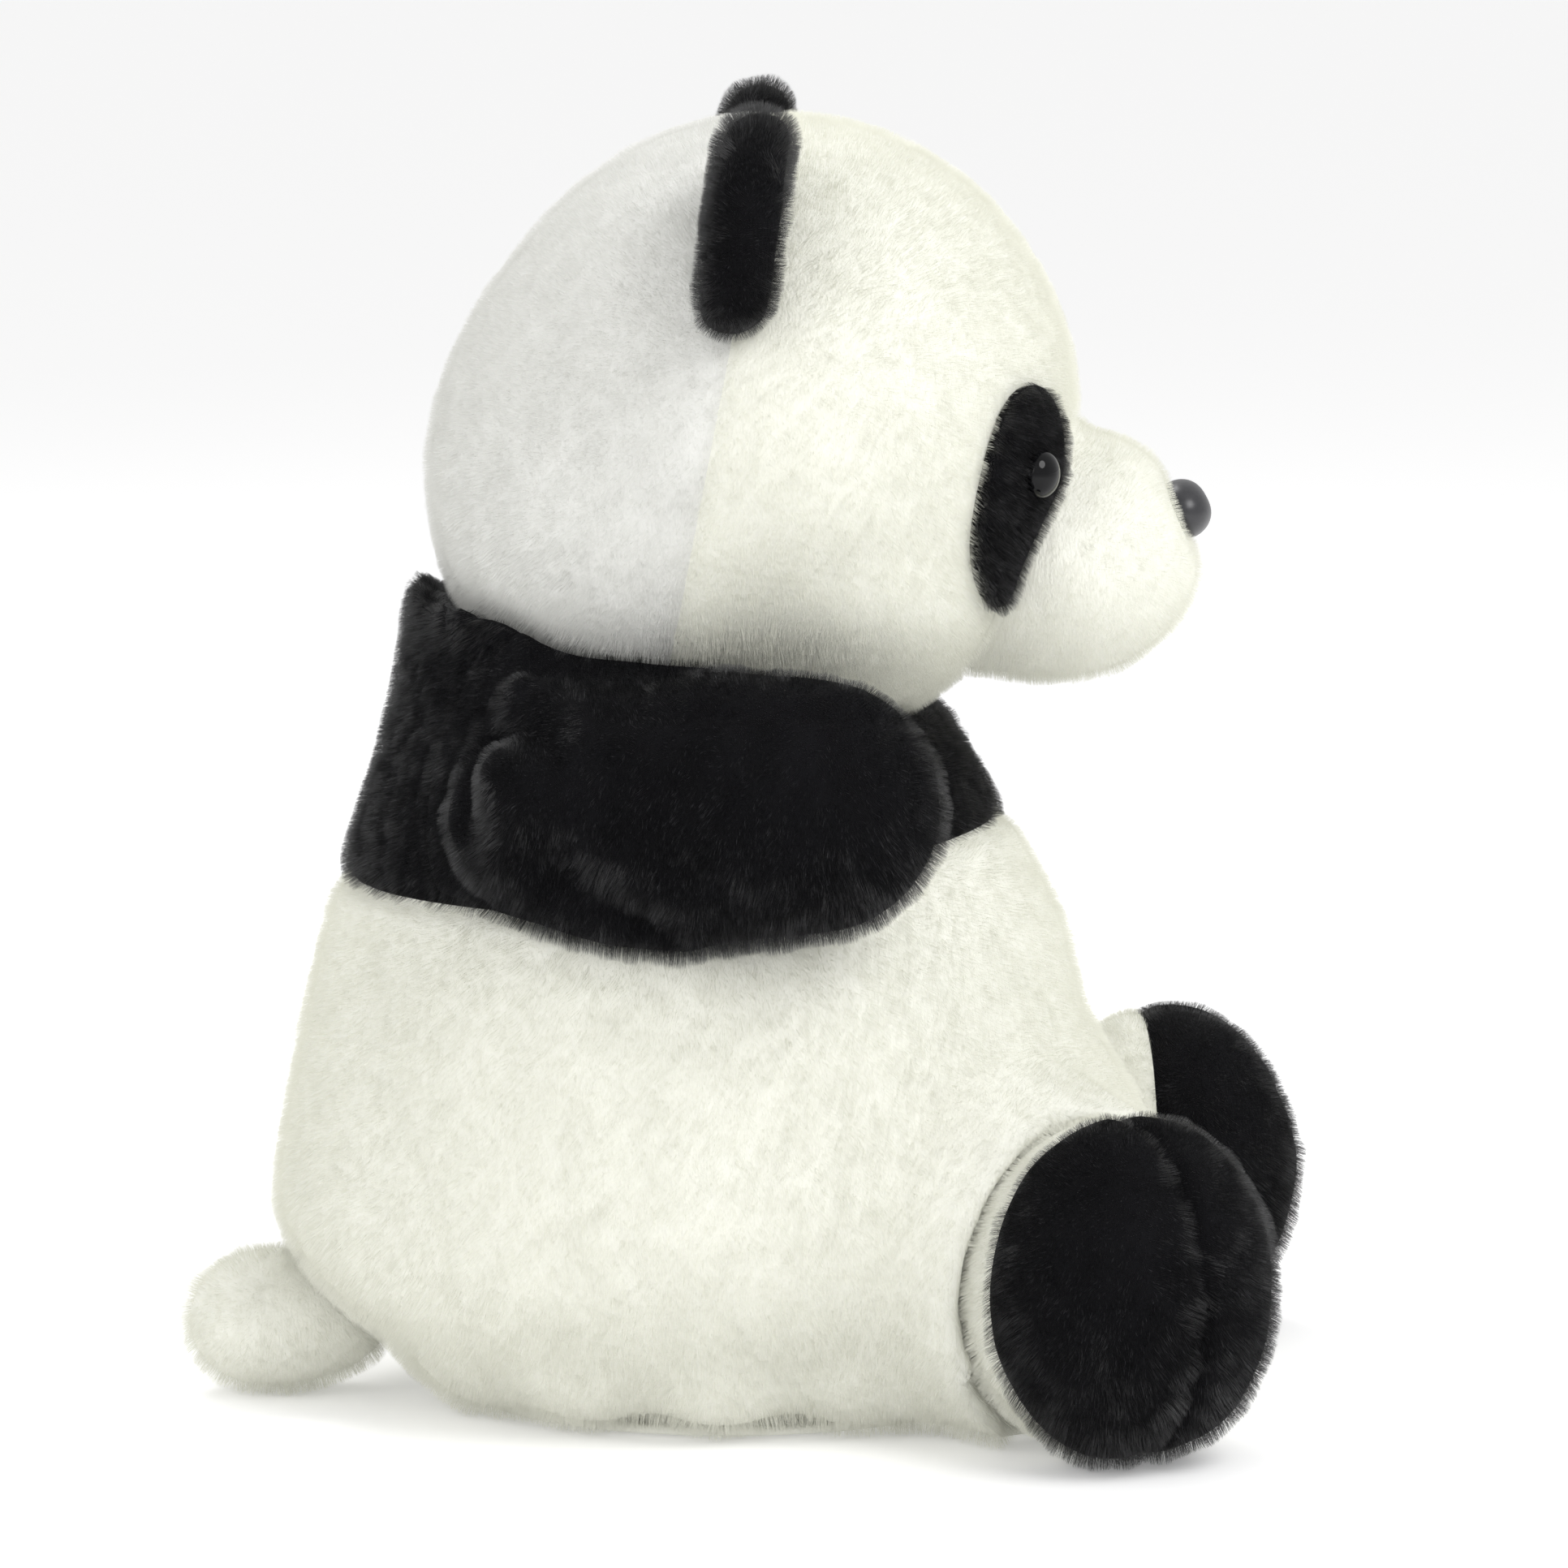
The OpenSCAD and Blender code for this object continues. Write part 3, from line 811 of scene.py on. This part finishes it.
def trunk_shape():
    """The body with its thighs, hollowed where the head, arms, feet and tail sit in it."""
    thighs = [in_foot(name, melted(THIGH, 3)) for name in SIDES]

    def whole(points):
        parts = [trunk_form(points)] + [thigh(points) for thigh in thighs]
        return -8 * np.log(sum(np.exp(np.clip(-d / 8, -60, 60)) for d in parts))

    shape = without(whole, collar_room, -1.0, 3)
    for name in SIDES:
        shape = without(shape, arm_shape(name), 0.8, 3)
        shape = without(shape, in_foot(name, foot_shape), SNUG, 1.2)
    return without(shape, tail_shape, 0.8, 2)


def folds(side):
    """Valleys in the band: the shoulder fold, and two loose folds that hang below the arm's root."""
    return [([(side * 50, 78, 205), (side * 72, 65, 173), (side * 76, 57, 160)], 6.5, 6.5),
            ([(side * 74, 65, 184), (side * 84, 45, 173), (side * 86, 25, 171), (side * 84, 8, 178)], 5.5, 6),
            ([(side * 76, 57, 162), (side * 88, 44, 150), (side * 90, 24, 140)], 4.5, 6)]


def make_body():
    shape = trunk_shape()
    points, quads = ray_form(BODY_AT, shape, 40)
    points[:, 2] = np.maximum(points[:, 2], 0.0)
    form = new_piece("body_form", points, quads)
    at = points_of(form)
    sunk = sunk_depth(at)
    held = np.maximum.reduce([blend_step(sunk, -5, 0), ridge(band_seam(at), 5),
                              blend_step(-at[:, 2], -8, -2)])
    stuffed(form, held, 3, 2.0)
    refine(form)
    at = points_of(form)
    free = 1 - blend_step(sunk_depth(at), -4, 0)
    shift = free * (1.2 * soft_noise(at, 50, 5) + 0.25 * soft_noise(at, 18, 6))
    shift -= 2.4 * ridge(band_seam(at), 3.5) * free
    push(form, shift)
    at = points_of(form)
    at[:, 2] = np.maximum(at[:, 2], 0.0)
    move_points(form, at)
    body = keep_side(form, "white_body", band_seam)
    band = keep_side(form, "shoulder_band", lambda p: -band_seam(p))
    bpy.data.objects.remove(form)
    for piece, slot, cloth, length, nodes, seed in (
            (body, "white_plush", WHITE, 3.0, ["body_cover", "body_stuffing", "pellet_bag"], 41),
            (band, "black_plush", BLACK, 3.0, ["shoulder_band_cover", "neck_stuffing"], 42)):
        at = points_of(piece)
        bare = np.maximum(blend_step(sunk_depth(at), -1, 1), blend_step(-at[:, 2], -1.5, -0.2))
        dress(piece, "torso", slot, cloth, length, nodes, lean=(0, 0, -0.45), bare=bare, seed=seed,
              thick=0.11, per_mm2=2.4)


def sunk_depth(points):
    """How close each body point lies to the hollows for the head, limbs and tail. Above 0 in them."""
    hollows = [collar_room(points) - 1.2, tail_shape(points) - 0.8]
    for name in SIDES:
        hollows += [arm_shape(name)(points) - 0.8, in_foot(name, foot_shape)(points) - 0.8]
    return 1.0 - np.minimum.reduce(hollows)


def make_seat_panel():
    """The oval panel that closes the seat, with a turned edge."""
    low, high = node_box("seat_panel")
    middle, radii = (low + high) / 2, (high - low) / 2
    thick = high[2] - low[2]
    edge = [(1 - 0.02 * (1 - math.sin(a)), thick / 2 - thick / 2 * math.cos(a))
            for a in np.linspace(0, math.pi, 9)]
    profile = [(0.02, 0.0), (0.5, 0.0)] + edge + [(0.5, thick), (0.02, thick)]
    piece = lathe("seat_panel_cloth", [(r * radii[0], h) for r, h in profile],
                  np.array([middle[0], middle[1], low[2]]), (0.0001, 0, 1), (1, 1), 96)
    at = points_of(piece)
    at[:, 1] = middle[1] + (at[:, 1] - middle[1]) * radii[1] / radii[0]
    at[:, 2] = np.maximum(at[:, 2], 0)
    move_points(piece, at)
    piece.data.materials.append(WHITE[0])
    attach(piece, "torso")
    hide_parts("seat_panel")


# ---- limbs ----

SLEEVE_REACH = 47


def make_arm(name):
    """The sleeve: it starts as a panel over the shoulder, and ends in the paw."""
    side = SIDES[name]
    lobes = arm_lobes(name)
    root, paw = lobes[0][0], lobes[-1][0]
    length = np.linalg.norm(paw - root)
    shoulder = without(trunk_form, collar_room, 2.0, 4)

    def panel(points):
        return np.maximum(shoulder(points), 2 - band_seam(points))

    shape = overlaid(arm_shape(name), panel, root + [side * 4, 4, 2], SLEEVE_REACH, 0.8, 8)
    form = new_piece(f"sleeve_form_{name}", *ray_form(root + [side * 2, 0, 0], shape, 30, 150))
    at = points_of(form)
    along = (at - root) @ (paw - root) / length ** 2
    stuffed(form, 1 - blend_step(along, 0.2, 0.5), 3, 1.5)
    refine(form)
    at = points_of(form)
    along = (at - root) @ (paw - root) / length ** 2
    loose = blend_step(along, 0.15, 0.45)
    outer = blend_step(side * at[:, 0], 58, 70)
    seam = ridge((at - paw) @ np.array([-side * 0.35, 0, 1.0]) - 20, 2.2)
    shift = loose * (0.9 * soft_noise(at, 26, 50 + side) + 0.4 * soft_noise(at, 11, 52) - 0.9 * seam)
    shift += (1 - loose) * 0.8 * soft_noise(at, 22, 54)
    for line, depth, width in folds(side):
        distance = line_distance(at, line)
        shift += outer * (0.6 * depth * ridge(distance - 2.0 * width, width) - depth * ridge(distance, width))
    push(form, shift)
    piece = keep_side(form, f"arm_{name}_cloth",
                      lambda p: np.minimum(-trunk_form(p) - 7, side * (root[0] - p[:, 0])))
    bpy.data.objects.remove(form)
    at = points_of(piece)
    near_root = 1 - blend_step((at - root) @ (paw - root) / length ** 2, 0.15, 0.3)
    bare = np.maximum(near_root * blend_step(-trunk_form(at), 0.5, 2.5), blend_step(-head_shape(at), -1, 1))
    dress(piece, f"arm_{name}", "black_plush", BLACK, 3.0, [f"arm_cover_{name}", f"arm_stuffing_{name}"],
          bend=(root + (paw - root) * 0.1, root + (paw - root) * 0.75),
          lean=(0, 0, -0.4), bare=bare, seed=50 + side, thick=0.11, per_mm2=2.8)


def make_foot(name):
    """An egg-shaped foot with a seam up the middle of its sole."""
    turn, hip = foot_frame(name), JOINT_AT[f"leg_{name}_lift"]
    points, quads = ray_form((0, 8, 0), foot_shape, 24, 90)
    form = new_piece(f"foot_form_{name}", points, quads)
    at = points_of(form)
    sole = blend_step(-at[:, 1], -12, 4)
    stuffed(form, np.maximum(0.8 * ridge(at[:, 0], 4) * sole, blend_step(at[:, 1], 22, 34)), 3, 1.8)
    refine(form)
    at = points_of(form)
    sole = blend_step(-at[:, 1], -12, 4)
    puff = 1.4 * ridge(np.abs(at[:, 0]) - 15, 12) * sole
    loose = 1 - blend_step(at[:, 1], 18, 34)
    push(form, puff + loose * (0.8 * soft_noise(at, 24, 60 + SIDES[name]) + 0.35 * soft_noise(at, 10, 62))
         - 2.8 * ridge(at[:, 0], 2.4) * sole)
    at = points_of(form)
    push(form, -1.2 * ridge(at[:, 1] - ANKLE_SEAM, 2.5))
    at = points_of(form)
    floor_level = HIP_IN_FOOT[2] - hip[2]
    at[:, 2] = np.maximum(at[:, 2], floor_level)
    move_points(form, at)
    foot = keep_side(form, f"foot_{name}_cloth", lambda p: p[:, 1] - ANKLE_SEAM)
    leg = keep_side(form, f"leg_{name}_cloth", lambda p: ANKLE_SEAM - p[:, 1])
    bpy.data.objects.remove(form)
    for piece, slot, cloth, nodes, seed in (
            (foot, "black_plush", BLACK, [f"foot_cover_{name}", f"foot_stuffing_{name}"], 60),
            (leg, "white_plush", WHITE, [f"leg_cover_{name}"], 64)):
        at = points_of(piece)
        parting = 0.85 * ridge(at[:, 0], 1.6) * blend_step(-at[:, 1], -4, 4) * blend_step(at[:, 2], 0, 8)
        on_floor = blend_step(floor_level + 1.5 - at[:, 2], 0, 1)
        bare = np.maximum.reduce([parting, blend_step(at[:, 1], 40, 48), on_floor])
        move_points(piece, (at - HIP_IN_FOOT) @ turn + hip)
        dress(piece, f"leg_{name}", slot, cloth, 2.8, nodes, lean=(0, 0, -0.4), bare=bare,
              seed=seed + SIDES[name], thick=0.11, per_mm2=2.8)


def make_tail():
    form = new_piece("tail_cloth", *ray_form(TAIL_AT + [0, 12, 0], tail_shape, 14, 60))
    at = points_of(form)
    stuffed(form, 1 - blend_step(at[:, 1], TAIL_AT[1] - 2, TAIL_AT[1] + 10), 3, 1.0)
    refine(form)
    at = points_of(form)
    push(form, 0.6 * soft_noise(at, 12, 70))
    at = points_of(form)
    at[:, 2] = np.maximum(at[:, 2], 0)
    move_points(form, at)
    bare = blend_step(1.5 - at[:, 2], 0, 1)
    dress(form, "tail", "white_plush", WHITE, 3.0, ["tail_cover", "tail_stuffing"],
          lean=(0, 0, -0.3), bare=bare, seed=70, thick=0.11, per_mm2=3.0)


add_camera()
add_stage()
make_head()
make_muzzle()
make_nose()
make_body()
make_seat_panel()
make_tail()
for limb in SIDES:
    make_patch(limb)
    make_eye(limb)
    make_ear(limb)
    make_arm(limb)
    make_foot(limb)
for washer in ("nose_washer", "eye_washer_left", "eye_washer_right"):
    for material_slot in frame["nodes"][washer].material_slots:
        material_slot.material = WASHER_PLASTIC
